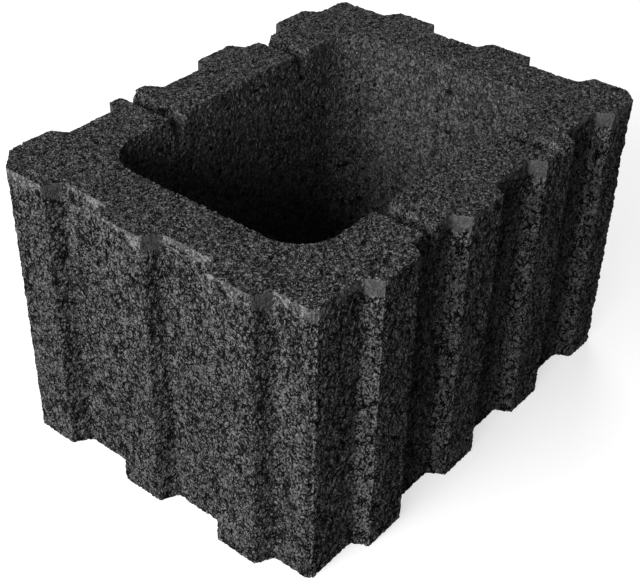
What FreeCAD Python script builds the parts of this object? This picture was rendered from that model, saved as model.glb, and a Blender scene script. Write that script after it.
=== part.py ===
import FreeCAD, Part
import Sketcher
import os

# Concrete planter block: one cast piece, open through its height, ribbed on
# all four sides so that blocks laid side by side key into each other.
# Frame: X along the long side, Y along the short side, Z up, origin in the
# middle of the footprint at the ground.

os.makedirs("parts", exist_ok=True)
doc = FreeCAD.newDocument("planter_block")

SIZES = [
    ("block_length", 413.5, "overall length over the ribs"),
    ("block_width", 313.5, "overall width over the ribs"),
    ("block_height", 250.0, "height of the casting"),
    ("rib_depth", 13.5, "how far the ribs stand out of the groove floors"),
    ("rib_flank_run", 7.25, "sideways run of a rib's sloping flank"),
    ("key_clearance", 3.25, "gap each side of a neighbour's rib in a groove"),
    ("long_bays", 4.0, "rib bays along a long side"),
    ("short_bays", 3.0, "rib bays along a short side"),
    ("post_rib_line", 24.5, "rib line of the front post, from the block's outer planes"),
    ("front_post_chamfer", 12.0, "chamfer on the outer corner of the front post"),
    ("rear_post_chamfer", 20.0, "chamfer on the outer corner of the rear post"),
    ("plain_chamfer", 5.0, "chamfer on the two corners without a post"),
    ("wall_thickness", 45.0, "wall between a groove floor and the cavity"),
    ("cavity_radius", 33.0, "upright corners of the cavity"),
    ("notch_mouth_width", 16.0, "notch width in the top face"),
    ("notch_floor_radius", 3.5, "round floor of a notch"),
    ("notch_depth", 12.0, "notch depth below the top face"),
    ("tail_radius", 9.0, "half width of a notch tail where it meets the top face"),
    ("tail_height", 32.0, "how far down the cavity wall a notch tail runs out"),
    ("cut_margin", 2.0, "how far a cutting tool runs past the face it cuts"),
]

sheet = doc.addObject("Spreadsheet::Sheet", "sizes")
for row, (name, number, note) in enumerate(SIZES, start=1):
    sheet.set("A%d" % row, note)
    sheet.set("B%d" % row, "%g" % number)
    sheet.setAlias("B%d" % row, name)
doc.recompute()


class Size:
    """A length kept both as a sheet formula and as its present number."""

    def __init__(self, text, number):
        self.text = text
        self.number = float(number)

    def join(self, sign, other, number):
        return Size("(%s %s %s)" % (self.text, sign, other.text), number)

    def __add__(self, other):
        return self.join("+", other, self.number + other.number)

    def __sub__(self, other):
        return self.join("-", other, self.number - other.number)

    def __mul__(self, factor):
        return Size("(%s * %g)" % (self.text, factor), self.number * factor)

    def __truediv__(self, other):
        return self.join("/", other, self.number / other.number)

    def __neg__(self):
        return Size("(-1 * %s)" % self.text, -self.number)


def size(name):
    for alias, number, note in SIZES:
        if alias == name:
            return Size("sizes.%s" % name, number)
    raise ValueError("no size called " + name)


ZERO = Size("0", 0.0)
ONE = Size("1", 1.0)

half_length = size("block_length") * 0.5
half_width = size("block_width") * 0.5
height = size("block_height")
depth = size("rib_depth")
flank = size("rib_flank_run")
margin = size("cut_margin")

# The block repeats on a grid one rib depth smaller than its overall size,
# because a neighbour's ribs lie in its grooves.
long_pitch = (size("block_length") - depth) / size("long_bays")
short_pitch = (size("block_width") - depth) / size("short_bays")

# A rib face is half a pitch less one flank and the gap beside it, so that
# the groove between two ribs always takes a neighbour's rib.
long_face = long_pitch * 0.5 - flank - size("key_clearance")
short_face = short_pitch * 0.5 - flank - size("key_clearance")

# Rib lines are counted from the two posts.  Those of the rear post lie half
# a pitch out of step, so that blocks in a straight row still key together.
near_line = size("post_rib_line")
long_line = depth + long_pitch * 0.5 - near_line
short_line = depth + short_pitch * 0.5 - near_line

core_x = half_length - depth
core_y = half_width - depth
cavity_x = core_x - size("wall_thickness")
cavity_y = core_y - size("wall_thickness")


def origin_item(body, role):
    for item in body.Origin.OriginFeatures:
        if item.Role == role:
            return item
    raise ValueError("no origin item " + role)


def new_body(name):
    body = doc.addObject("PartDesign::Body", name)
    doc.recompute()
    return body


def new_sketch(body, name, plane="XY_Plane"):
    sketch = body.newObject("Sketcher::SketchObject", name)
    sketch.AttachmentSupport = [(origin_item(body, plane), "")]
    sketch.MapMode = "FlatFace"
    return sketch


def pin(sketch, geo, end, point):
    """Hold one end of a line at a point given by two sizes."""
    for kind, value in (("DistanceX", point[0]), ("DistanceY", point[1])):
        if abs(value.number) < 1e-9:
            other = "PointOnObject"
            axis = -2 if kind == "DistanceX" else -1
            sketch.addConstraint(Sketcher.Constraint(other, geo, end, axis))
            continue
        index = sketch.addConstraint(
            Sketcher.Constraint(kind, -1, 1, geo, end, value.number))
        sketch.setExpression("Constraints[%d]" % index, value.text)


def vector(point):
    return FreeCAD.Vector(point[0].number, point[1].number, 0)


def outline(sketch, points):
    """Closed run of straight lines, every corner held by its own sizes."""
    first = sketch.GeometryCount
    count = len(points)
    for i in range(count):
        sketch.addGeometry(
            Part.LineSegment(vector(points[i]), vector(points[(i + 1) % count])), False)
    for i in range(count):
        sketch.addConstraint(Sketcher.Constraint(
            "Coincident", first + i, 2, first + (i + 1) % count, 1))
        pin(sketch, first + i, 1, points[i])


def rounded_rectangle(sketch, half_x, half_y, radius):
    """Rectangle about the origin with four equal corner arcs."""
    r = radius.number
    quarter = 1.5707963267948966
    corners = ((1, 1, 0), (-1, 1, 1), (-1, -1, 2), (1, -1, 3))
    starts, ends = [], []
    for sx, sy, turn in corners:
        cx = half_x - radius
        cy = half_y - radius
        side = (half_x * sx, cy * sy)
        end = (cx * sx, half_y * sy)
        starts.append(side if turn % 2 == 0 else end)
        ends.append(end if turn % 2 == 0 else side)
    lines = []
    for i in range(4):
        lines.append(sketch.addGeometry(
            Part.LineSegment(vector(ends[i]), vector(starts[(i + 1) % 4])), False))
    for i in range(4):
        pin(sketch, lines[i], 1, ends[i])
        pin(sketch, lines[i], 2, starts[(i + 1) % 4])
    for i, (sx, sy, turn) in enumerate(corners):
        centre = FreeCAD.Vector((half_x.number - r) * sx, (half_y.number - r) * sy, 0)
        arc = sketch.addGeometry(Part.ArcOfCircle(
            Part.Circle(centre, FreeCAD.Vector(0, 0, 1), r),
            turn * quarter, (turn + 1) * quarter), False)
        sketch.addConstraint(Sketcher.Constraint("Coincident", arc, 1, lines[i - 1], 2))
        sketch.addConstraint(Sketcher.Constraint("Coincident", arc, 2, lines[i], 1))
        index = sketch.addConstraint(Sketcher.Constraint("Radius", arc, r))
        sketch.setExpression("Constraints[%d]" % index, radius.text)


def pad(body, sketch, name, length):
    feature = body.newObject("PartDesign::Pad", name)
    feature.Profile = sketch
    feature.setExpression("Length", length.text)
    sketch.Visibility = False
    body.Tip = feature
    doc.recompute()
    return feature


def repeat(body, feature, name, role, backwards, pitch, bays):
    """Repeat a rib along its side, one rib fewer than there are bays."""
    row = body.newObject("PartDesign::LinearPattern", name)
    row.Originals = [feature]
    row.Direction = (origin_item(body, role), [""])
    row.Reversed = backwards
    row.Mode = "Spacing"
    row.setExpression("Offset", pitch.text)
    row.setExpression("Occurrences", "%s - 1" % size(bays).text)
    body.Tip = row
    doc.recompute()
    return row


body = new_body("planter_block")

# Core: the block to the groove floors, two opposite corners chamfered.
cut = size("plain_chamfer")
core_sketch = new_sketch(body, "core_outline")
outline(core_sketch, [
    (core_x, -core_y),
    (core_x, core_y - cut),
    (core_x - cut, core_y),
    (-core_x, core_y),
    (-core_x, -(core_y - cut)),
    (-(core_x - cut), -core_y),
])
pad(body, core_sketch, "core", height)

# Ribs: trapezoids rooted a little inside the core.  Each row starts at the
# rib next to a post and runs away from it.
root = margin


def turned(points, quarter):
    """Turn a profile drawn for the front side to another side of the block."""
    if quarter == 0:
        return points
    if quarter == 2:
        return [(-x, -y) for x, y in points]
    if quarter == 1:
        return [(-y, x) for x, y in points]
    return [(y, -x) for x, y in points]


def rib_points(line, face, floor_y, outer_y):
    """Rib profile on the front side, its line at the given place along it."""
    half = face * 0.5
    base = half + flank
    inner = floor_y - root
    return [
        (line - base, -inner),
        (line + base, -inner),
        (line + base, -floor_y),
        (line + half, -outer_y),
        (line - half, -outer_y),
        (line - base, -floor_y),
    ]


ROWS = [
    # name, quarter turns, half of the side, post line, pitch, rib face,
    # groove floor, outer plane, direction of the row, bays
    ("front", 0, half_length, near_line, long_pitch, long_face,
     core_y, half_width, "X_Axis", True, "long_bays"),
    ("back", 2, half_length, long_line, long_pitch, long_face,
     core_y, half_width, "X_Axis", False, "long_bays"),
    ("left", 3, half_width, short_line, short_pitch, short_face,
     core_x, half_length, "Y_Axis", True, "short_bays"),
    ("right", 1, half_width, near_line, short_pitch, short_face,
     core_x, half_length, "Y_Axis", False, "short_bays"),
]
for name, quarter, run, line, pitch, face, floor_y, outer_y, role, backwards, bays in ROWS:
    # Along the front and the back the post is on the right of someone who
    # faces that side; along the left and the right it is on their left.
    place = run - line - pitch
    if quarter % 2:
        place = -place
    rib_sketch = new_sketch(body, name + "_rib_outline")
    outline(rib_sketch, turned(rib_points(place, face, floor_y, outer_y), quarter))
    rib = pad(body, rib_sketch, name + "_rib", height)
    repeat(body, rib, name + "_ribs", role, backwards, pitch, bays)


# Corner posts: the ribs of two sides meeting round a chamfered corner.
def post(name, front, line_x, face_x, line_y, face_y):
    """Post at the front right corner, or turned to the rear left one."""
    arm_x = line_x + face_x * 0.5
    arm_y = line_y + face_y * 0.5
    chamfer = size(name + "_chamfer")
    points = [
        (half_length - arm_x, -half_width),
        (half_length - chamfer, -half_width),
        (half_length, -(half_width - chamfer)),
        (half_length, -(half_width - arm_y)),
        (core_x, -(half_width - arm_y - flank)),
        (core_x - root, -(half_width - arm_y - flank)),
        (core_x - root, -(core_y - root)),
        (half_length - arm_x - flank, -(core_y - root)),
        (half_length - arm_x - flank, -core_y),
    ]
    if not front:
        points = turned(points, 2)
    sketch = new_sketch(body, name + "_outline")
    outline(sketch, points)
    return pad(body, sketch, name, height)


post("front_post", True, near_line, long_face, near_line, short_face)
post("rear_post", False, long_line, long_face, short_line, short_face)

# Cavity for the soil, open at the top and at the bottom.
before = body.Shape.Volume
cavity_sketch = new_sketch(body, "cavity_outline")
rounded_rectangle(cavity_sketch, cavity_x, cavity_y, size("cavity_radius"))
cavity = body.newObject("PartDesign::Pocket", "cavity")
cavity.Profile = cavity_sketch
cavity.Type = "ThroughAll"
cavity.Reversed = True
cavity_sketch.Visibility = False
body.Tip = cavity
doc.recompute()
if not before - body.Shape.Volume > 0.2 * before:
    raise RuntimeError("the cavity did not cut the core")

# Notches: shallow round-floored grooves across both long walls in the top
# face.  The first runs down the middle of a back rib and of the front groove
# facing it, the second a pitch and a half further on.
first_notch = long_line + long_pitch - half_length
notch_lines = (first_notch, first_notch + long_pitch * 1.5)


def notch(sketch, middle):
    """Closed notch section: two slanting sides, tangent to a round floor."""
    half = size("notch_mouth_width") * 0.5
    sink = size("notch_depth")
    radius = size("notch_floor_radius")
    r = radius.number
    left, right = middle - half, middle + half
    centre = (middle, height - sink + radius)
    low = FreeCAD.Vector(centre[0].number, centre[1].number, 0)
    arc = sketch.addGeometry(Part.ArcOfCircle(
        Part.Circle(low, FreeCAD.Vector(0, 0, 1), r), 3.7, 5.7), False)
    pin(sketch, arc, 3, centre)
    index = sketch.addConstraint(Sketcher.Constraint("Radius", arc, r))
    sketch.setExpression("Constraints[%d]" % index, radius.text)
    rim = [(left, height), (left, height + margin),
           (right, height + margin), (right, height)]
    first = sketch.GeometryCount
    for i in range(3):
        sketch.addGeometry(Part.LineSegment(vector(rim[i]), vector(rim[i + 1])), False)
        pin(sketch, first + i, 1, rim[i])
        if i:
            sketch.addConstraint(Sketcher.Constraint(
                "Coincident", first + i - 1, 2, first + i, 1))
    pin(sketch, first + 2, 2, rim[3])
    for line, end, sign in ((first, 1, -1), (first + 2, 2, 1)):
        start = rim[0] if sign < 0 else rim[3]
        foot = low + FreeCAD.Vector(0.85 * r * sign, -0.5 * r, 0)
        side = sketch.addGeometry(Part.LineSegment(vector(start), foot), False)
        sketch.addConstraint(Sketcher.Constraint("Coincident", side, 1, line, end))
        sketch.addConstraint(Sketcher.Constraint(
            "Tangent", side, 2, arc, 1 if sign < 0 else 2))


before = body.Shape.Volume
notch_sketch = new_sketch(body, "notch_profile", "XZ_Plane")
for line in notch_lines:
    notch(notch_sketch, line)
notches = body.newObject("PartDesign::Pocket", "notches")
notches.Profile = notch_sketch
notches.Type = "ThroughAll"
notches.Midplane = True
notch_sketch.Visibility = False
body.Tip = notches
doc.recompute()
if not before - body.Shape.Volume > 1000.0:
    raise RuntimeError("the notches did not cut the walls")

# Tails: every notch runs out down the cavity wall in a tapering flute.
before = body.Shape.Volume
over = size("cut_margin")
tail_height = size("tail_height")
widening = (tail_height + over) / tail_height
for number in range(4):
    line = notch_lines[number // 2]
    wall = cavity_y if number % 2 else -cavity_y
    tail = body.newObject("PartDesign::SubtractiveCone", "tail_%d" % (number + 1))
    tail.setExpression("Radius1", "0.02 mm")
    tail.setExpression("Radius2", "%s * %s" % (size("tail_radius").text, widening.text))
    tail.setExpression("Height", (tail_height + over).text)
    tail.setExpression("Placement.Base.x", line.text)
    tail.setExpression("Placement.Base.y", wall.text)
    tail.setExpression("Placement.Base.z", (height - tail_height).text)
    body.Tip = tail
    doc.recompute()
if not before - body.Shape.Volume > 1000.0:
    raise RuntimeError("the notch tails did not cut the cavity wall")

doc.recompute()
for item in doc.Objects:
    if "Invalid" in item.State or "Error" in item.State:
        raise RuntimeError("bad state: %s %s" % (item.Name, item.State))
if body.Shape.isNull() or not body.Shape.isValid() or len(body.Shape.Solids) != 1:
    raise RuntimeError("planter_block is not one valid solid")
box = body.Shape.BoundBox
print("planter_block", round(box.XLength, 3), round(box.YLength, 3), round(box.ZLength, 3),
      "volume", round(body.Shape.Volume / 1e6, 3), "litres", "faces", len(body.Shape.Faces))
body.Shape.exportStep("parts/planter_block.step")
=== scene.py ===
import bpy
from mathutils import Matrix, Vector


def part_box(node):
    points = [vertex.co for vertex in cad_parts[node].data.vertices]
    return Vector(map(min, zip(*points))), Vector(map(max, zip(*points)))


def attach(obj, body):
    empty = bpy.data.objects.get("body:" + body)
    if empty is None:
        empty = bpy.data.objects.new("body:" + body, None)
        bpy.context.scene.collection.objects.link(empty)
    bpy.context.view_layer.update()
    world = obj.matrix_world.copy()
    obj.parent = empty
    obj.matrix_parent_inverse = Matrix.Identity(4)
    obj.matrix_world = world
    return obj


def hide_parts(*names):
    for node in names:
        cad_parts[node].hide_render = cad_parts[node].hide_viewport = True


bl_info = {
    "name": "Concrete Planter Block",
    "version": (1, 0, 0),
    "blender": (4, 5, 0),
    "location": "View3D > Sidebar > Planter Block",
    "description": "Casts the visible surface of a ribbed planter block in a plain studio",
    "category": "Object",
}

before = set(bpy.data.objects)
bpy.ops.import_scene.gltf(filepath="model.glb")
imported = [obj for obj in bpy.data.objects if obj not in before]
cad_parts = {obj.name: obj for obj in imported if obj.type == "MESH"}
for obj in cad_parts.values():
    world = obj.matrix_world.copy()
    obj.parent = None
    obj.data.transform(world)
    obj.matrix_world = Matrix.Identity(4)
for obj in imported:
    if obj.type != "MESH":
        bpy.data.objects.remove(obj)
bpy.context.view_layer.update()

import bmesh
import bpy
import numpy as np
from bpy.props import FloatProperty, FloatVectorProperty, IntProperty, PointerProperty
from mathutils import Vector

BLOCK_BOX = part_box("planter_block")
BLOCK_TOP = float(BLOCK_BOX[1][2])
HALF_LENGTH = float(BLOCK_BOX[1][0])
HALF_WIDTH = float(BLOCK_BOX[1][1])
MM = 0.001
RIB_PITCH = 100 * MM
POST_LINE = 24.5 * MM
# The two lines of notches: one rib pitch in from the post, and one and a half pitches further.
FIRST_NOTCH = HALF_LENGTH - POST_LINE - RIB_PITCH
NOTCH_LINES = (FIRST_NOTCH, FIRST_NOTCH - 1.5 * RIB_PITCH)
# The long walls are cut here at both ends, near where the straight part of the cavity stops.
CORNER_CUT = 115 * MM
# How far each softened copy of the shape reaches.
SOFT_REACH = (1.4 * MM, 5.0 * MM, 10.5 * MM)
# Spans of distance inside the outer box. Rib floors lie 13.5 mm in, cavity walls 58.5 mm in.
OUTSIDE_SPAN = (-17.5 * MM, -15.5 * MM)
ONE_SIDE_SPAN = (-16.5 * MM, -15.0 * MM)
CAVITY_SPAN = (-44 * MM, -50 * MM)
# The worn rims at the top and the foot fade out over this height.
RIM_SPAN = (12 * MM, 4 * MM)
# How deep a crumb broken from a rim goes, and how far the pressed band is sunk.
CHIP_DEPTH = 1.4 * MM
BAND_SINK = 0.3 * MM
SURFACE_MARKS = ("pressed", "hollow", "edge", "cavity", "strip", "crease")

# Sand grain of the finish: size, width of the gaps, level of the holes.
FINE_GRAIN = (0.0022, 0.11, 0.345)
COARSE_GRAIN = (0.0058, 0.105, 0.34)
FINE_BUMP = 2.4 * MM
COARSE_BUMP = 3.6 * MM

# The floor as light bounces off it, and its own glow where the camera looks at it.
FLOOR_BOUNCE = (0.15, 0.15, 0.15, 1.0)
FLOOR_GLOW = 0.66
FLOOR_REACH = 6.0
# Each lamp: name, setting that holds its power, side of its square, place.
LAMPS = (
    ("key_lamp", "key_power", 0.8, (-1.75, 0.30, 1.15)),
    ("fill_lamp", "fill_power", 0.9, (-1.75, -0.42, 0.80)),
    ("rear_lamp", "rear_power", 1.4, (1.7, 1.3, 1.0)),
)
LAMP_TARGET = (0.0, 0.0, 0.12)
CAMERA_PLACE = (-0.66425, -0.52261, 0.70856)
CAMERA_TURN = (0.937620, -0.019835, -0.882516)
SENSOR_WIDTH = 36.0


def length_prop(name, description, default, low=0.0, high=1.0):
    return FloatProperty(name=name, description=description, default=default,
                         min=low, max=high, unit="LENGTH", precision=5)


def share_prop(name, description, default):
    return FloatProperty(name=name, description=description, default=default,
                         min=0.0, max=1.0, subtype="FACTOR")


def colour_prop(name, description, default):
    return FloatVectorProperty(name=name, description=description, default=default,
                               size=4, min=0.0, max=1.0, subtype="COLOR")


class CastingSettings(bpy.types.PropertyGroup):
    """Sizes of the cast surface: how coarse, how open and how worn it is."""

    mesh_step: length_prop("Mesh step", "Edge length of the cast mesh", 1.3 * MM)
    band_depth: length_prop("Pressed band", "Smooth band under the top edge of the outer sides",
                            15 * MM)
    clump_size: length_prop("Clump size", "Usual size of the clumps in the sides", 6.5 * MM)
    clump_relief: length_prop("Clump relief", "Depth of the gaps between clumps", 1.4 * MM)
    grain_relief: length_prop("Grain relief", "Depth of the coarse sand relief", 1.0 * MM)
    pit_size: length_prop("Pit spacing", "Spacing of the open pits", 6 * MM)
    pit_depth: length_prop("Pit depth", "Depth of the open pits", 2.4 * MM)
    wander: length_prop("Unevenness", "Slow unevenness of the faces", 0.6 * MM)
    edge_wear: share_prop("Edge wear", "How far the worn edges have crumbled", 0.8)
    seed: IntProperty(name="Seed", description="Seed of the random relief", default=7, min=0)


class FinishSettings(bpy.types.PropertyGroup):
    """Colours of the concrete."""

    # Dark end of the tone. It is the dark cement between the grains, and also the painted shade
    # that pits, gaps, hollows and inside corners are darkened toward.
    paste: colour_prop("Cement paste", "Dark pigmented paste down between the grains",
                       (0.004, 0.004, 0.004, 1))
    grain: colour_prop("Pale grain", "Colour of the palest sand grains", (0.30, 0.30, 0.299, 1))
    lime: colour_prop("Lime bloom", "Pale lime specks", (0.42, 0.42, 0.415, 1))
    tone: FloatProperty(name="Tone", description="Usual tone between the paste and the pale grain",
                        default=0.74, min=0.0, max=1.0, subtype="FACTOR")


class StageSettings(bpy.types.PropertyGroup):
    """Floor, lamps and camera."""

    floor: colour_prop("Floor", "Plain pale floor", (0.5, 0.5, 0.5, 1))
    key_power: FloatProperty(name="Key lamp", description="Power of the large lamp at the left",
                             default=38.5, min=0.0, unit="POWER")
    fill_power: FloatProperty(name="Fill lamp",
                              description="Power of the low lamp nearer the camera",
                              default=28.0, min=0.0, unit="POWER")
    rear_power: FloatProperty(name="Rear lamp",
                              description="Power of the soft lamp behind the block",
                              default=36.0, min=0.0, unit="POWER")
    sky: FloatProperty(name="Room light", description="Strength of the even light of the room",
                       default=0.13, min=0.0)
    lens: FloatProperty(name="Lens", description="Focal length of the camera",
                        default=69.49, min=1.0, unit="CAMERA")


# ---------------------------------------------------------------------------
# Node building
# ---------------------------------------------------------------------------

class Tree:
    """Adds nodes to a node tree; any input may be a plain value or another node's output."""

    def __init__(self, tree):
        self.tree = tree
        self.column = 0

    def link(self, source, target):
        self.tree.links.new(source, target)

    def feed(self, socket, value):
        if isinstance(value, bpy.types.NodeSocket):
            self.link(value, socket)
        elif value is not None:
            socket.default_value = value

    def node(self, kind, **settings):
        item = self.tree.nodes.new(kind)
        self.column += 1
        item.location = (self.column % 12 * 190, -(self.column // 12) * 260)
        for key, value in settings.items():
            setattr(item, key, value)
        return item

    def math(self, operation, a, b=None, c=None, clamp=False):
        item = self.node("ShaderNodeMath", operation=operation, use_clamp=clamp)
        for socket, value in zip(item.inputs, (a, b, c)):
            self.feed(socket, value)
        return item.outputs[0]

    def vector(self, operation, a, b=None, scale=None):
        item = self.node("ShaderNodeVectorMath", operation=operation)
        self.feed(item.inputs[0], a)
        self.feed(item.inputs[1], b)
        if scale is not None:
            self.feed(item.inputs["Scale"], scale)
        return item.outputs["Value"] if operation in ("DOT_PRODUCT", "LENGTH") else item.outputs[0]

    def parts(self, vector):
        item = self.node("ShaderNodeSeparateXYZ")
        self.feed(item.inputs[0], vector)
        return item.outputs[0], item.outputs[1], item.outputs[2]

    def join(self, x, y, z):
        item = self.node("ShaderNodeCombineXYZ")
        for socket, value in zip(item.inputs, (x, y, z)):
            self.feed(socket, value)
        return item.outputs[0]

    def ramp(self, value, low, high, to_low=0.0, to_high=1.0):
        item = self.node("ShaderNodeMapRange", interpolation_type="SMOOTHSTEP")
        for name, number in (("Value", value), ("From Min", low), ("From Max", high),
                             ("To Min", to_low), ("To Max", to_high)):
            self.feed(item.inputs[name], number)
        return item.outputs["Result"]

    def mix(self, kind, share, a, b, blend="MIX"):
        item = self.node("ShaderNodeMix", data_type=kind)
        if kind == "RGBA":
            item.blend_type = blend
        live = [s for s in item.inputs if s.enabled]
        self.feed(live[0], share)
        self.feed(live[1], a)
        self.feed(live[2], b)
        return [s for s in item.outputs if s.enabled][0]

    def noise(self, vector, scale, detail=2.0, roughness=0.5, distortion=0.0, colour=False):
        item = self.node("ShaderNodeTexNoise", noise_dimensions="3D")
        for name, value in (("Vector", vector), ("Scale", scale), ("Detail", detail),
                            ("Roughness", roughness), ("Distortion", distortion)):
            self.feed(item.inputs[name], value)
        return item.outputs["Color" if colour else "Fac"]

    def cells(self, vector, scale, feature="F1", randomness=1.0, smooth=None):
        item = self.node("ShaderNodeTexVoronoi", voronoi_dimensions="3D", feature=feature)
        self.feed(item.inputs["Vector"], vector)
        self.feed(item.inputs["Scale"], scale)
        self.feed(item.inputs["Randomness"], randomness)
        if smooth is not None:
            item.inputs["Smoothness"].default_value = smooth
        return item.outputs["Distance"], item.outputs.get("Color")


def tree_sockets(tree, direction, rows):
    for name, kind, default in rows:
        socket = tree.interface.new_socket(name=name, in_out=direction, socket_type=kind)
        if default is not None and hasattr(socket, "default_value"):
            socket.default_value = default


def socket_id(tree, name):
    for item in tree.interface.items_tree:
        if item.item_type == "SOCKET" and item.in_out == "INPUT" and item.name == name:
            return item.identifier
    raise RuntimeError("no input called " + name)


# ---------------------------------------------------------------------------
# Surface of the casting
# ---------------------------------------------------------------------------

def build_casting_tree():
    """Geometry tree that crumbles the edges and opens the faces of a clean block."""
    tree = bpy.data.node_groups.new("open_casting", "GeometryNodeTree")
    tree_sockets(tree, "INPUT", (
        ("Block", "NodeSocketGeometry", None),
        ("Mesh Step", "NodeSocketFloat", 0.0013),
        ("Top", "NodeSocketFloat", 0.25),
        ("Half Length", "NodeSocketFloat", 0.2),
        ("Half Width", "NodeSocketFloat", 0.15),
        ("Band Depth", "NodeSocketFloat", 0.017),
        ("Notch Line 1", "NodeSocketFloat", 0.08),
        ("Notch Line 2", "NodeSocketFloat", -0.07),
        ("Clump Size", "NodeSocketFloat", 0.006),
        ("Clump Relief", "NodeSocketFloat", 0.001),
        ("Grain Relief", "NodeSocketFloat", 0.0005),
        ("Pit Spacing", "NodeSocketFloat", 0.012),
        ("Pit Depth", "NodeSocketFloat", 0.002),
        ("Unevenness", "NodeSocketFloat", 0.001),
        ("Edge Wear", "NodeSocketFloat", 0.8),
        ("Seed", "NodeSocketInt", 7),
        ("Finish", "NodeSocketMaterial", None),
    ))
    tree_sockets(tree, "OUTPUT", (("Casting", "NodeSocketGeometry", None),))
    t = Tree(tree)
    given = t.node("NodeGroupInput")
    value = {s.name: s for s in given.outputs if s.name}

    here = t.node("GeometryNodeInputPosition").outputs[0]
    facing = t.node("GeometryNodeInputNormal").outputs[0]

    # Soft copies of the shape: a little, more and much rounder than the block.
    def softened(reach):
        item = t.node("GeometryNodeBlurAttribute", data_type="FLOAT_VECTOR")
        live = [s for s in item.inputs if s.enabled]
        t.feed(live[0], here)
        rounds = t.math("POWER", t.math("DIVIDE", reach, value["Mesh Step"]), 2.0)
        t.feed(item.inputs["Iterations"], t.math("ROUND", rounds))
        return [s for s in item.outputs if s.enabled][0]

    soft_1, soft_2, soft_3 = (softened(reach) for reach in SOFT_REACH)

    seed = t.math("MULTIPLY", value["Seed"], 3.17)
    place = t.vector("ADD", here, t.join(seed, 0.0, 0.0))

    # Where on the block a point lies.
    nx, ny, nz = t.parts(facing)
    x, y, z = t.parts(here)
    upright = t.ramp(t.math("ABSOLUTE", nz), 0.35, 0.75, 1.0, 0.0)
    past_x = t.math("SUBTRACT", t.math("ABSOLUTE", x), value["Half Length"])
    past_y = t.math("SUBTRACT", t.math("ABSOLUTE", y), value["Half Width"])
    outside = t.ramp(t.math("MAXIMUM", past_x, past_y), *OUTSIDE_SPAN)

    # The rib flanks were pressed smooth below the top edge, the faces only a little.
    on_end = t.ramp(past_x, *ONE_SIDE_SPAN)
    on_side = t.ramp(past_y, *ONE_SIDE_SPAN)
    turned_y = t.ramp(t.math("ABSOLUTE", ny), 0.50, 0.72)
    turned_x = t.ramp(t.math("ABSOLUTE", nx), 0.50, 0.72)
    flank = t.math("MAXIMUM", t.math("MULTIPLY", on_end, t.math("SUBTRACT", turned_y, on_side)),
                   t.math("MULTIPLY", on_side, t.math("SUBTRACT", turned_x, on_end)), clamp=True)
    ragged = t.math("MULTIPLY", t.math("SUBTRACT", t.noise(place, 140.0, 2.0), 0.5), 0.012)
    below_top = t.math("ADD", t.math("SUBTRACT", value["Top"], z), ragged)
    band_end = t.math("MULTIPLY", value["Band Depth"], 0.9)
    flank_band = t.ramp(below_top, value["Band Depth"], band_end, 0.0, 1.0)
    face_noise = t.math("MULTIPLY", t.math("SUBTRACT", t.noise(place, 75.0, 3.0), 0.5), 0.045)
    face_band = t.ramp(t.math("ADD", below_top, face_noise), 0.012, 0.004, 0.0, 0.7)
    band = t.mix("FLOAT", flank, face_band, flank_band)
    from_notch = t.math("MINIMUM", *(
        t.math("ABSOLUTE", t.math("SUBTRACT", x, value[line]))
        for line in ("Notch Line 1", "Notch Line 2")))
    at_notch = t.math("MULTIPLY", t.ramp(from_notch, 0.015, 0.011), on_side)
    band = t.math("MULTIPLY", t.math("MULTIPLY", band, outside), upright)
    band = t.math("MULTIPLY", band, t.math("SUBTRACT", 1.0, at_notch))

    # Convex edges stand proud of their softened copy.
    proud = t.vector("DOT_PRODUCT", t.vector("SUBTRACT", here, soft_2), facing)
    edge = t.ramp(proud, 0.0004, 0.0016)
    crumble = t.ramp(t.noise(place, 170.0, 3.0, 0.6), 0.42, 0.62)
    bite = t.ramp(t.noise(t.vector("ADD", place, (3.1, 7.7, 1.3)), 42.0, 2.0, 0.6), 0.57, 0.68)
    shape = t.mix("VECTOR", t.math("MULTIPLY", crumble, 0.35), here, soft_1)
    # The rims at the top and the foot are the most worn, the upright rib edges the least.
    rim = t.math("MAXIMUM", t.ramp(t.math("SUBTRACT", value["Top"], z), *RIM_SPAN),
                 t.ramp(z, *RIM_SPAN))
    open_edge = t.math("MULTIPLY", edge, t.math("ADD", t.math("MULTIPLY", rim, 0.30), 0.08))
    wear = t.math("MULTIPLY", t.math("MULTIPLY", crumble, open_edge), value["Edge Wear"])
    shape = t.mix("VECTOR", wear, shape, soft_2)
    bite = t.math("MULTIPLY", bite, t.math("ADD", t.math("MULTIPLY", rim, 0.55), 0.05))
    wear_more = t.math("MULTIPLY", t.math("MULTIPLY", bite, edge), value["Edge Wear"])
    shape = t.mix("VECTOR", wear_more, shape, soft_3)

    # Clumps: rounded cells with gaps between them.
    swirl = t.noise(place, 230.0, 2.0, colour=True)
    wobble = t.vector("SCALE", t.vector("SUBTRACT", swirl, (0.5, 0.5, 0.5)), scale=0.005)
    bent = t.vector("ADD", place, wobble)
    clump_scale = t.math("DIVIDE", 1.0, value["Clump Size"])
    away, _ = t.cells(bent, clump_scale, "SMOOTH_F1", 1.0, 0.2)
    gap = t.math("POWER", t.math("MULTIPLY", away, 1.4, clamp=True), 2.2)
    away_small, _ = t.cells(bent, t.math("MULTIPLY", clump_scale, 2.3), "F1", 1.0)
    gap_small = t.math("POWER", t.math("MULTIPLY", away_small, 1.25, clamp=True), 2.0)
    patchy = t.ramp(t.noise(place, 38.0, 2.0), 0.36, 0.64, 0.35, 1.0)
    clumps = t.math("MULTIPLY", t.math("MULTIPLY", gap, patchy), value["Clump Relief"])
    sand = t.math("MULTIPLY", gap_small, value["Grain Relief"])

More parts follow.
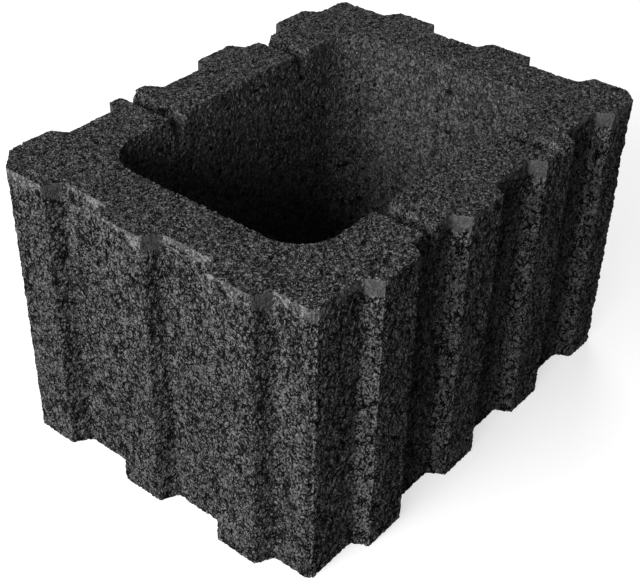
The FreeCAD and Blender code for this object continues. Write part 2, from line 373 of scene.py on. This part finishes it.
    # Pits of two sizes, ragged because they are where a broken noise runs high.
    pit_scale = t.math("DIVIDE", 1.0, value["Pit Spacing"])
    flattened = t.vector("ADD", t.vector("MULTIPLY", place, (1.0, 1.0, 0.8)), (5.0, 2.0, 9.0))
    large_pit = t.ramp(t.noise(flattened, pit_scale, 2.0, 0.6, 0.4), 0.60, 0.70)
    crowd = t.ramp(t.noise(place, 55.0, 1.0), 0.35, 0.62, 0.25, 1.0)
    aside = t.vector("ADD", place, (1.0, 4.0, 6.0))
    small_noise = t.noise(aside, t.math("MULTIPLY", pit_scale, 2.1), 1.0, 0.6, 0.3)
    small_pit = t.ramp(small_noise, 0.55, 0.66)
    deep = t.math("MULTIPLY", t.math("MULTIPLY", large_pit, crowd), value["Pit Depth"])
    shallow = t.math("MULTIPLY", small_pit, t.math("MULTIPLY", value["Pit Depth"], 0.55))
    pits = t.math("MAXIMUM", deep, shallow)

    slow = t.math("MULTIPLY", t.noise(place, 22.0, 2.0), value["Unevenness"])

    # The sides are coarse, the struck top is finer, the pressed band is smooth.
    free = t.math("SUBTRACT", 1.0, t.math("MULTIPLY", band, 0.93))
    free = t.math("MULTIPLY", free, t.math("SUBTRACT", 1.0, t.math("MULTIPLY", flank, 0.35)))
    coarse = t.mix("FLOAT", upright, 0.35, 1.0)
    deep_in = t.ramp(t.math("MAXIMUM", past_x, past_y), *CAVITY_SPAN)
    in_cavity = t.math("MULTIPLY", deep_in, upright)
    calmer = t.math("SUBTRACT", 1.0, t.math("MULTIPLY", in_cavity, 0.4))
    coarse = t.math("MULTIPLY", coarse, calmer)
    pitted = t.mix("FLOAT", upright, 0.8, 1.0)
    relief = t.math("ADD", t.math("MULTIPLY", clumps, coarse), t.math("MULTIPLY", pits, pitted))
    relief = t.math("MULTIPLY", t.math("ADD", relief, sand), free)
    depth = t.math("ADD", t.math("MULTIPLY", relief, -1.0), t.math("MULTIPLY", slow, -0.6))
    depth = t.math("ADD", depth, t.math("MULTIPLY", band, -BAND_SINK))
    # Along the rims small crumbs have broken away.
    chips = t.ramp(t.noise(t.vector("ADD", place, (6.0, 2.0, 4.0)), 230.0, 2.0, 0.65), 0.50, 0.64)
    chips = t.math("MULTIPLY", t.math("MULTIPLY", chips, edge),
                   t.math("ADD", t.math("MULTIPLY", rim, 0.8), 0.2))
    depth = t.math("ADD", depth, t.math("MULTIPLY", chips, -CHIP_DEPTH))
    moved = t.vector("ADD", shape, t.vector("SCALE", facing, scale=depth))

    # What the finish needs to know about each point.
    def store(geometry, name, field):
        item = t.node("GeometryNodeStoreNamedAttribute", data_type="FLOAT", domain="POINT")
        t.feed(item.inputs["Geometry"], geometry)
        item.inputs["Name"].default_value = name
        live = [s for s in item.inputs if s.name == "Value" and s.enabled]
        t.feed(live[0], field)
        return item.outputs[0]

    deepest = t.math("ADD", value["Clump Relief"], value["Pit Depth"])
    hollow = t.math("DIVIDE", relief, deepest, clamp=True)
    body = store(value["Block"], "pressed", band)
    body = store(body, "hollow", hollow)
    body = store(body, "edge", edge)
    # Strip: a lighter ragged strip under the top edge of the outer faces. The rib flanks of the
    # long sides are painted lighter and those of the ends darker, as painted light and shade.
    strip = t.math("MULTIPLY", t.math("MULTIPLY", face_band, t.math("SUBTRACT", 1.0, flank)),
                   t.math("MULTIPLY", outside, upright))
    side_flank_painted_light = t.math("MULTIPLY", t.math("MULTIPLY", flank, on_side),
                         t.math("SUBTRACT", 1.0, band))
    strip = t.math("ADD", strip, t.math("MULTIPLY", side_flank_painted_light, 0.35))
    strip = t.math("SUBTRACT", strip, t.math("MULTIPLY", t.math("MULTIPLY", flank, on_end), 0.45))
    body = store(body, "strip", strip)
    # Inside corners stand below their softened copy; the finish paints shade into them.
    body = store(body, "crease", t.ramp(t.math("MULTIPLY", proud, -1.0), 0.0004, 0.0020))
    body = store(body, "cavity", in_cavity)

    place_node = t.node("GeometryNodeSetPosition")
    t.feed(place_node.inputs["Geometry"], body)
    t.feed(place_node.inputs["Position"], moved)
    real = t.node("GeometryNodeRealizeInstances")
    t.feed(real.inputs[0], place_node.outputs[0])
    paint = t.node("GeometryNodeSetMaterial")
    t.feed(paint.inputs["Geometry"], real.outputs[0])
    t.feed(paint.inputs["Material"], value["Finish"])
    out = t.node("NodeGroupOutput")
    t.feed(out.inputs[0], paint.outputs[0])
    return tree


# ---------------------------------------------------------------------------
# Finish of the concrete
# ---------------------------------------------------------------------------

def build_grain_group():
    """Sand grains with a tone each, and the gaps and holes between them. The tone is painted
    lighter on the raised middle of each grain and darker toward its rim, as painted shade; the
    finish paints shade into the gaps and holes.
    """
    tree = bpy.data.node_groups.new("sand_grain", "ShaderNodeTree")
    tree_sockets(tree, "INPUT", (
        ("Place", "NodeSocketVector", None),
        ("Grain Size", "NodeSocketFloat", 0.0022),
        ("Gap Width", "NodeSocketFloat", 0.16),
        ("Hole Level", "NodeSocketFloat", 0.38),
    ))
    tree_sockets(tree, "OUTPUT", (
        ("Tone", "NodeSocketFloat", None),
        ("Pore", "NodeSocketFloat", None),
        ("Height", "NodeSocketFloat", None),
    ))
    t = Tree(tree)
    given = t.node("NodeGroupInput")
    place, size, width, level = given.outputs[:4]
    scale = t.math("DIVIDE", 1.0, size)
    swirl = t.noise(place, t.math("MULTIPLY", scale, 1.1), 2.0, colour=True)
    wobble = t.vector("SCALE", t.vector("SUBTRACT", swirl, (0.5, 0.5, 0.5)),
                      scale=t.math("MULTIPLY", size, 1.2))
    bent = t.vector("ADD", place, wobble)
    away, tint = t.cells(bent, scale, "F1", 1.0)
    rim, _ = t.cells(bent, scale, "DISTANCE_TO_EDGE", 1.0)
    red, _, _ = t.parts(tint)
    fine = t.noise(place, t.math("MULTIPLY", scale, 1.5), 3.0, 0.7)
    breaks = t.noise(t.vector("ADD", place, (2.0, 5.0, 8.0)),
                     t.math("MULTIPLY", scale, 0.9), 1.0, 0.5)
    pits = t.noise(t.vector("ADD", place, (4.0, 1.0, 3.0)),
                   t.math("MULTIPLY", scale, 1.1), 2.0, 0.6, 1.0)
    # The gaps between grains are open in some places and closed in others.
    loose = t.ramp(breaks, 0.57, 0.48)
    gap = t.math("MULTIPLY", t.ramp(rim, width, t.math("MULTIPLY", width, 0.4)), loose)
    hole = t.ramp(pits, t.math("ADD", level, 0.04), t.math("SUBTRACT", level, 0.03))
    pore = t.math("MAXIMUM", gap, hole)
    lump = t.math("SUBTRACT", 0.55, away)
    tone = t.math("ADD", t.math("MULTIPLY", t.math("SUBTRACT", red, 0.5), 0.22),
                  t.math("MULTIPLY", t.math("SUBTRACT", fine, 0.5), 1.2))
    # Painted shade: the raised middle of each grain is painted lighter and its rim darker.
    tone = t.math("ADD", tone, t.math("MULTIPLY", lump, 0.3))
    height = t.math("ADD", t.math("MULTIPLY", lump, 0.8), t.math("MULTIPLY", fine, 0.7))
    height = t.math("SUBTRACT", height, t.math("MULTIPLY", pore, 0.6))
    out = t.node("NodeGroupOutput")
    for socket, field in zip(out.inputs, (tone, pore, height)):
        t.feed(socket, field)
    return tree


def build_bloom_group():
    """Small pale lime specks that gather in loose upright runs."""
    tree = bpy.data.node_groups.new("lime_bloom", "ShaderNodeTree")
    tree_sockets(tree, "INPUT", (
        ("Place", "NodeSocketVector", None),
        ("Amount", "NodeSocketFloat", 0.5),
    ))
    tree_sockets(tree, "OUTPUT", (("Bloom", "NodeSocketFloat", None),))
    t = Tree(tree)
    given = t.node("NodeGroupInput")
    drawn = t.vector("MULTIPLY", given.outputs[0], (1.0, 1.0, 0.4))
    runs = t.ramp(t.noise(drawn, 26.0, 2.0, 0.6), 0.63, 0.70)
    specks = t.ramp(t.noise(given.outputs[0], 420.0, 3.0, 0.7), 0.56, 0.70)
    bloom = t.math("MULTIPLY", t.math("MULTIPLY", runs, specks), given.outputs[1])
    out = t.node("NodeGroupOutput")
    t.feed(out.inputs[0], bloom)
    return tree


def attribute(t, name):
    item = t.node("ShaderNodeAttribute", attribute_type="GEOMETRY", attribute_name=name)
    return item.outputs["Fac"]


def concrete_material(finish):
    """Dark open-textured cast concrete."""
    material = bpy.data.materials.new("cast_concrete_surface")
    material.use_nodes = True
    material.diffuse_color = finish.grain
    tree = material.node_tree
    tree.nodes.clear()
    t = Tree(tree)
    place = t.node("ShaderNodeTexCoord").outputs["Object"]
    facing = t.node("ShaderNodeNewGeometry").outputs["Normal"]
    _, _, nz = t.parts(facing)
    upright = t.ramp(t.math("ABSOLUTE", nz), 0.4, 0.7, 1.0, 0.0)
    pressed = attribute(t, "pressed")
    hollow = attribute(t, "hollow")
    edge = attribute(t, "edge")
    cavity = attribute(t, "cavity")
    strip = attribute(t, "strip")
    crease = attribute(t, "crease")

    # The sides were drawn out of the mould, so their grain runs upright.
    drawn = t.mix("VECTOR", upright, place, t.vector("MULTIPLY", place, (1.0, 1.0, 0.72)))

    sand = build_grain_group()

    def grain(size, width, level):
        item = t.node("ShaderNodeGroup", node_tree=sand)
        t.feed(item.inputs["Place"], drawn)
        item.inputs["Grain Size"].default_value = size
        item.inputs["Gap Width"].default_value = width
        item.inputs["Hole Level"].default_value = level
        return item.outputs

    fine = grain(*FINE_GRAIN)
    coarse = grain(*COARSE_GRAIN)
    broad = t.noise(place, 20.0, 3.0, 0.6)

    rough_part = t.math("SUBTRACT", 1.0, t.math("MULTIPLY", pressed, 0.8))
    tone = t.math("ADD", t.math("MULTIPLY", fine["Tone"], 0.20),
                  t.math("MULTIPLY", coarse["Tone"], 0.06))
    tone = t.math("MULTIPLY", tone, rough_part)
    tone = t.math("ADD", tone, t.math("MULTIPLY", t.math("SUBTRACT", broad, 0.5), 0.14))
    tone = t.math("ADD", tone, finish.tone)
    shut = t.math("SUBTRACT", 1.0, t.math("MULTIPLY", cavity, 0.45))
    cracked = t.math("MULTIPLY", t.mix("FLOAT", upright, 0.35, 1.0), shut)
    # Pore mask: gaps and holes between grains, deep hollows of the relief and the struck pits of
    # the top. Below, it darkens the tone as painted shade in these holes.
    pore = t.math("MAXIMUM", t.math("MULTIPLY", fine["Pore"], shut),
                  t.math("MULTIPLY", coarse["Pore"], cracked))
    pore = t.math("MAXIMUM", t.math("MULTIPLY", pore, rough_part),
                  t.ramp(hollow, 0.36, 0.66, 0.0, 0.85))
    struck = t.ramp(t.noise(place, 420.0, 2.0, 0.6, 0.8), 0.49, 0.435)
    pore = t.math("MAXIMUM", pore, t.math("MULTIPLY", struck, t.mix("FLOAT", upright, 1.0, 0.25)))
    tone = t.math("SUBTRACT", tone, t.math("MULTIPLY", pressed, 0.16))
    # The strip: lighter under the top edge of the faces, painted light on the rib flanks of the
    # long sides, painted shade on the rib flanks of the ends.
    tone = t.math("ADD", tone, t.math("MULTIPLY", strip, 0.26))
    # Painted shade in the pores: the tone is darkened toward the dark end.
    tone = t.math("MULTIPLY", tone, t.math("SUBTRACT", 1.0, t.math("MULTIPLY", pore, 0.92)))
    # Painted shade in inside corners: the crease mask darkens the tone.
    tone = t.math("MULTIPLY", tone, t.math("SUBTRACT", 1.0, t.math("MULTIPLY", crease, 0.42)))
    # Convex edges painted a little lighter: partly the paler grain of worn edges, partly painted
    # highlight.
    tone = t.math("ADD", tone, t.math("MULTIPLY", edge, 0.07), clamp=True)
    colour = t.mix("RGBA", t.math("POWER", tone, 2.2), tuple(finish.paste), tuple(finish.grain))
    bloom = t.node("ShaderNodeGroup", node_tree=build_bloom_group())
    t.feed(bloom.inputs["Place"], place)
    t.feed(bloom.inputs["Amount"], t.math("MULTIPLY", upright, 0.75))
    colour = t.mix("RGBA", bloom.outputs[0], colour, tuple(finish.lime))

    bump = t.node("ShaderNodeBump")
    height = t.math("ADD", t.math("MULTIPLY", fine["Height"], FINE_BUMP),
                    t.math("MULTIPLY", coarse["Height"], COARSE_BUMP))
    height = t.math("MULTIPLY", height, t.math("SUBTRACT", 1.0, t.math("MULTIPLY", pressed, 0.85)))
    t.feed(bump.inputs["Height"], height)
    bump.inputs["Strength"].default_value = 1.0
    bump.inputs["Distance"].default_value = 1.0

    shader = t.node("ShaderNodeBsdfPrincipled")
    t.feed(shader.inputs["Base Color"], colour)
    roughness = t.mix("FLOAT", pressed, t.mix("FLOAT", tone, 0.95, 0.80), 0.72)
    t.feed(shader.inputs["Roughness"], roughness)
    t.feed(shader.inputs["Normal"], bump.outputs[0])
    shader.inputs["Specular IOR Level"].default_value = 0.08
    out = t.node("ShaderNodeOutputMaterial")
    t.feed(out.inputs["Surface"], shader.outputs[0])
    return material


# ---------------------------------------------------------------------------
# Operators
# ---------------------------------------------------------------------------

def merged_copy(node, name):
    """Copy of a CAD node's mesh with its loose triangles joined."""
    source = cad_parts[node]
    mesh = source.data.copy()
    mesh.name = name
    shape = bmesh.new()
    shape.from_mesh(mesh)
    bmesh.ops.remove_doubles(shape, verts=shape.verts, dist=1e-5)
    shape.to_mesh(mesh)
    shape.free()
    mesh.materials.clear()
    piece = bpy.data.objects.new(name, mesh)
    bpy.context.scene.collection.objects.link(piece)
    return piece


def evaluated_mesh(piece, name):
    graph = bpy.context.evaluated_depsgraph_get()
    graph.update()
    mesh = bpy.data.meshes.new_from_object(piece.evaluated_get(graph), depsgraph=graph)
    mesh.name = name
    return mesh


def section(whole, name, inside):
    """One closed part of the casting: what lies on the kept side of each cutting plane."""
    corners = np.empty(len(whole.vertices) * 3, dtype=np.float32)
    whole.vertices.foreach_get("co", corners)
    corners = corners.reshape(-1, 3)
    faces = np.empty(len(whole.loops), dtype=np.int32)
    whole.loops.foreach_get("vertex_index", faces)
    faces = faces.reshape(-1, 4)
    keep = np.ones(len(faces), dtype=bool)
    for at, outward in inside:
        past = (corners - np.array(at)) @ np.array(outward)
        keep &= past[faces].min(axis=1) < 0.0
    used, again = np.unique(faces[keep], return_inverse=True)
    mesh = bpy.data.meshes.new(name)
    mesh.from_pydata(corners[used].tolist(), [], again.reshape(-1, 4).tolist())
    for label in SURFACE_MARKS:
        values = np.empty(len(whole.vertices), dtype=np.float32)
        whole.attributes[label].data.foreach_get("value", values)
        mesh.attributes.new(label, "FLOAT", "POINT").data.foreach_set("value", values[used])
    shape = bmesh.new()
    shape.from_mesh(mesh)
    for at, outward in inside:
        bmesh.ops.bisect_plane(shape, geom=shape.verts[:] + shape.edges[:] + shape.faces[:],
                               dist=1e-7, plane_co=at, plane_no=outward, clear_outer=True)
        rim = [e for e in shape.edges if e.is_boundary
               and all(abs((v.co - Vector(at)).dot(Vector(outward))) < 2e-6 for v in e.verts)]
        bmesh.ops.triangle_fill(shape, use_beauty=False, use_dissolve=False, edges=rim,
                                normal=Vector(outward))
    bmesh.ops.triangulate(shape, faces=[f for f in shape.faces if len(f.verts) > 4])
    shape.to_mesh(mesh)
    shape.free()
    return mesh


class PLANTER_OT_casting(bpy.types.Operator):
    """Cast the visible block: coarse sides, struck top, pressed band and crumbled edges"""
    bl_idname = "planter.casting"
    bl_label = "Cast the Block"

    def execute(self, context):
        sizes = context.scene.planter_casting
        finish = context.scene.planter_finish
        piece = merged_copy("planter_block", "whole_casting")
        step = sizes.mesh_step * 1.0
        grid = piece.modifiers.new("grid", "REMESH")
        grid.mode = "VOXEL"
        grid.voxel_size = step
        grid.adaptivity = 0.0
        tree = build_casting_tree()
        surface = piece.modifiers.new("surface", "NODES")
        surface.node_group = tree
        material = concrete_material(finish)
        for name, number in (
                ("Mesh Step", step),
                ("Top", BLOCK_TOP), ("Half Length", HALF_LENGTH), ("Half Width", HALF_WIDTH),
                ("Band Depth", sizes.band_depth),
                ("Notch Line 1", NOTCH_LINES[0]), ("Notch Line 2", NOTCH_LINES[1]),
                ("Clump Size", sizes.clump_size), ("Clump Relief", sizes.clump_relief),
                ("Grain Relief", sizes.grain_relief), ("Pit Spacing", sizes.pit_size),
                ("Pit Depth", sizes.pit_depth), ("Unevenness", sizes.wander),
                ("Edge Wear", sizes.edge_wear), ("Seed", sizes.seed), ("Finish", material)):
            surface[socket_id(tree, name)] = number
        whole = evaluated_mesh(piece, "whole_casting")
        piece.modifiers.clear()
        bpy.data.objects.remove(piece)
        if not len(whole.polygons):
            raise RuntimeError("the casting came out empty")

        # The casting is one body. It is kept as eight closed sections, cut on shared planes.
        for end, side_x in (("left", -1.0), ("right", 1.0)):
            for side, side_y in (("front", -1.0), ("back", 1.0)):
                middle = ((0.0, 0.0, 0.0), (-side_x, 0.0, 0.0))
                across = ((0.0, 0.0, 0.0), (0.0, -side_y, 0.0))
                near = ((side_x * CORNER_CUT, 0.0, 0.0), (side_x, 0.0, 0.0))
                far = ((side_x * CORNER_CUT, 0.0, 0.0), (-side_x, 0.0, 0.0))
                for part, planes in (("wall", (middle, across, near)), ("corner", (across, far))):
                    name = "cast_%s_%s_%s" % (side, end, part)
                    mesh = section(whole, name, planes)
                    mesh.materials.append(material)
                    made = bpy.data.objects.new(name, mesh)
                    context.scene.collection.objects.link(made)
                    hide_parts("planter_block")
                    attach(made, "root")
        bpy.data.meshes.remove(whole)
        return {"FINISHED"}


class PLANTER_OT_stage(bpy.types.Operator):
    """Set out the plain pale floor, the soft lamps and the camera"""
    bl_idname = "planter.stage"
    bl_label = "Set Out the Stage"

    def execute(self, context):
        scene = context.scene
        stage = scene.planter_stage
        scene.view_settings.view_transform = "Standard"

        floor_mesh = bpy.data.meshes.new("floor")
        corners = [(x * FLOOR_REACH, y * FLOOR_REACH, 0)
                   for x, y in ((-1, -1), (1, -1), (1, 1), (-1, 1))]
        floor_mesh.from_pydata(corners, [], [(0, 1, 2, 3)])
        floor = bpy.data.objects.new("floor", floor_mesh)
        scene.collection.objects.link(floor)
        material = bpy.data.materials.new("floor_paper")
        material.use_nodes = True
        material.node_tree.nodes.clear()
        t = Tree(material.node_tree)
        seen = t.node("ShaderNodeLightPath").outputs["Is Camera Ray"]
        paper = t.node("ShaderNodeBsdfDiffuse")
        paper.inputs["Color"].default_value = tuple(stage.floor)
        dim = t.node("ShaderNodeBsdfDiffuse")
        dim.inputs["Color"].default_value = FLOOR_BOUNCE
        glow = t.node("ShaderNodeEmission")
        glow.inputs["Strength"].default_value = FLOOR_GLOW
        lit = t.node("ShaderNodeAddShader")
        t.feed(lit.inputs[0], paper.outputs[0])
        t.feed(lit.inputs[1], glow.outputs[0])
        either = t.node("ShaderNodeMixShader")
        t.feed(either.inputs[0], seen)
        t.feed(either.inputs[1], dim.outputs[0])
        t.feed(either.inputs[2], lit.outputs[0])
        out = t.node("ShaderNodeOutputMaterial")
        t.feed(out.inputs["Surface"], either.outputs[0])
        floor_mesh.materials.append(material)

        world = bpy.data.worlds.new("room")
        scene.world = world
        world.use_nodes = True
        world.node_tree.nodes.clear()
        t = Tree(world.node_tree)
        path = t.node("ShaderNodeLightPath")
        mirrored = t.math("MAXIMUM", path.outputs["Is Glossy Ray"],
                          path.outputs["Is Transmission Ray"])
        seen = t.math("MAXIMUM", path.outputs["Is Camera Ray"], mirrored)
        light = t.node("ShaderNodeBackground")
        t.feed(light.inputs["Strength"], t.mix("FLOAT", seen, stage.sky, 1.0))
        out = t.node("ShaderNodeOutputWorld")
        t.feed(out.inputs["Surface"], light.outputs[0])

        for name, power, size, place in LAMPS:
            data = bpy.data.lights.new(name, "AREA")
            data.shape = "SQUARE"
            data.size = size
            data.energy = getattr(stage, power)
            lamp = bpy.data.objects.new(name, data)
            lamp.location = place
            aim = Vector(LAMP_TARGET) - Vector(place)
            lamp.rotation_euler = aim.to_track_quat("-Z", "Y").to_euler()
            scene.collection.objects.link(lamp)

        camera_data = bpy.data.cameras.new("camera")
        camera_data.lens = stage.lens
        camera_data.sensor_width = SENSOR_WIDTH
        camera_data.sensor_fit = "HORIZONTAL"
        camera_data.clip_start = 0.01
        camera_data.clip_end = 50.0
        camera = bpy.data.objects.new("camera", camera_data)
        camera.location = CAMERA_PLACE
        camera.rotation_euler = CAMERA_TURN
        scene.collection.objects.link(camera)
        scene.camera = camera
        return {"FINISHED"}


class VIEW3D_PT_planter(bpy.types.Panel):
    bl_label = "Planter Block"
    bl_idname = "VIEW3D_PT_planter"
    bl_space_type = "VIEW_3D"
    bl_region_type = "UI"
    bl_category = "Planter Block"

    def draw(self, context):
        layout = self.layout
        for title, settings, operator in (
                ("Casting", context.scene.planter_casting, PLANTER_OT_casting.bl_idname),
                ("Finish", context.scene.planter_finish, None),
                ("Stage", context.scene.planter_stage, PLANTER_OT_stage.bl_idname)):
            box = layout.box()
            box.label(text=title)
            for name in settings.__annotations__:
                box.prop(settings, name)
            if operator:
                box.operator(operator)


CLASSES = (CastingSettings, FinishSettings, StageSettings,
           PLANTER_OT_casting, PLANTER_OT_stage, VIEW3D_PT_planter)


def register():
    for item in CLASSES:
        bpy.utils.register_class(item)
    bpy.types.Scene.planter_casting = PointerProperty(type=CastingSettings)
    bpy.types.Scene.planter_finish = PointerProperty(type=FinishSettings)
    bpy.types.Scene.planter_stage = PointerProperty(type=StageSettings)


def unregister():
    for name in ("planter_casting", "planter_finish", "planter_stage"):
        delattr(bpy.types.Scene, name)
    for item in reversed(CLASSES):
        bpy.utils.unregister_class(item)


def main():
    register()
    bpy.ops.planter.casting()
    bpy.ops.planter.stage()


if __name__ == "__main__":
    main()
